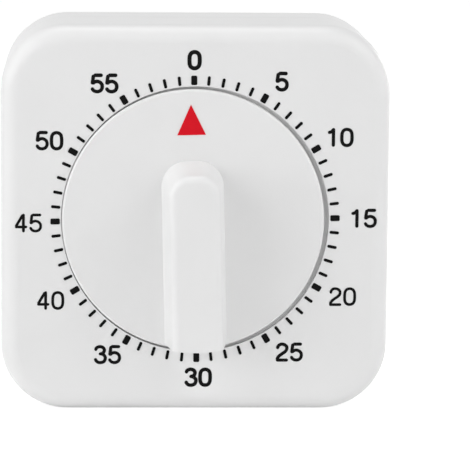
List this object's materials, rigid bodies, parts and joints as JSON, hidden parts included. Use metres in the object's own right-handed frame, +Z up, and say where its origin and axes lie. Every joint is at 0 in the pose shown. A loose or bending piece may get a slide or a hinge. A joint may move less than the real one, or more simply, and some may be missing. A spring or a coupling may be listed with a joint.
{
  "type": "mechanical kitchen timer",
  "caption": "Square white countdown timer with a round flush dial, tall grip bar and red pointer; winding the dial drives clockwork that strikes a bell at zero.",
  "frame": {"origin": "middle of the flat underside that the case stands on, at mid-depth of the case", "axes": "+Z up, face and grip towards -Y, +X to the right seen from the front"},
  "size_m": [0.06, 0.0379, 0.06],
  "materials": {
    "white_abs": "satin moulded",
    "black_ink": "printed",
    "red_ink": "printed",
    "steel": "zinc plated",
    "brass": "stamped",
    "spring_steel": "blued",
    "bell_steel": "plated"
  },
  "bodies": {
    "case": {"front_case": "white_abs", "rear_case": "white_abs", "case_screws": "steel", "minute_marks": "black_ink", "front_plate": "steel", "rear_plate": "steel", "plate_pillars": "steel", "plate_screws": "steel", "movement_screws": "steel", "spring_post": "steel", "mainspring": "spring_steel", "bell": "bell_steel", "bell_screw": "steel", "hammer_spring": "spring_steel"},
    "dial": {"dial_knob": "white_abs", "pointer_mark": "red_ink", "spindle": "steel", "clutch_spring": "spring_steel", "clutch_collar": "brass", "release_cam": "brass"},
    "main_drive": {"main_wheel": "brass"},
    "second_drive": {"second_arbor": "steel", "second_wheel": "brass"},
    "third_drive": {"third_arbor": "steel", "third_wheel": "brass"},
    "escape_drive": {"escape_arbor": "steel", "escape_wheel": "brass"},
    "anchor_lever": {"anchor_arbor": "steel", "anchor": "steel", "balance_bar": "brass"},
    "hammer": {"hammer_arbor": "steel", "cam_follower": "steel", "hammer_arm": "steel", "hammer_head": "brass"}
  },
  "joints": [
    {"name": "dial_turn", "type": "hinge", "parent": "case", "child": "dial", "pos_m": [-0.00032, 0, 0.03], "axis": [0, 1, 0], "range_deg": [0, 354], "deforming": ["mainspring"]},
    {"name": "escape_turn", "type": "hinge", "parent": "case", "child": "escape_drive", "pos_m": [-0.01112, 0, 0.04313], "axis": [0, 1, 0], "continuous": true},
    {"name": "third_turn", "type": "hinge", "parent": "case", "child": "third_drive", "pos_m": [-0.01648, 0, 0.03527], "axis": [0, 1, 0], "continuous": true},
    {"name": "second_turn", "type": "hinge", "parent": "case", "child": "second_drive", "pos_m": [-0.01536, 0, 0.02453], "axis": [0, 1, 0], "continuous": true},
    {"name": "main_turn", "type": "hinge", "parent": "case", "child": "main_drive", "pos_m": [-0.00032, 0, 0.03], "axis": [0, 1, 0], "continuous": true},
    {"name": "anchor_swing", "type": "hinge", "parent": "case", "child": "anchor_lever", "pos_m": [-0.00595, 0, 0.04657], "axis": [0, 1, 0], "range_deg": [-6, 6]},
    {"name": "hammer_swing", "type": "hinge", "parent": "case", "child": "hammer", "pos_m": [0.01546, 0, 0.02518], "axis": [0, -1, 0], "range_deg": [0, 4.5], "deforming": ["hammer_spring"]}
  ],
  "couplings": [
    {"joint": "third_turn", "follows": "escape_turn", "ratio": -0.13333},
    {"joint": "second_turn", "follows": "escape_turn", "ratio": 0.016667},
    {"joint": "main_turn", "follows": "escape_turn", "ratio": -0.0018519}
  ]
}
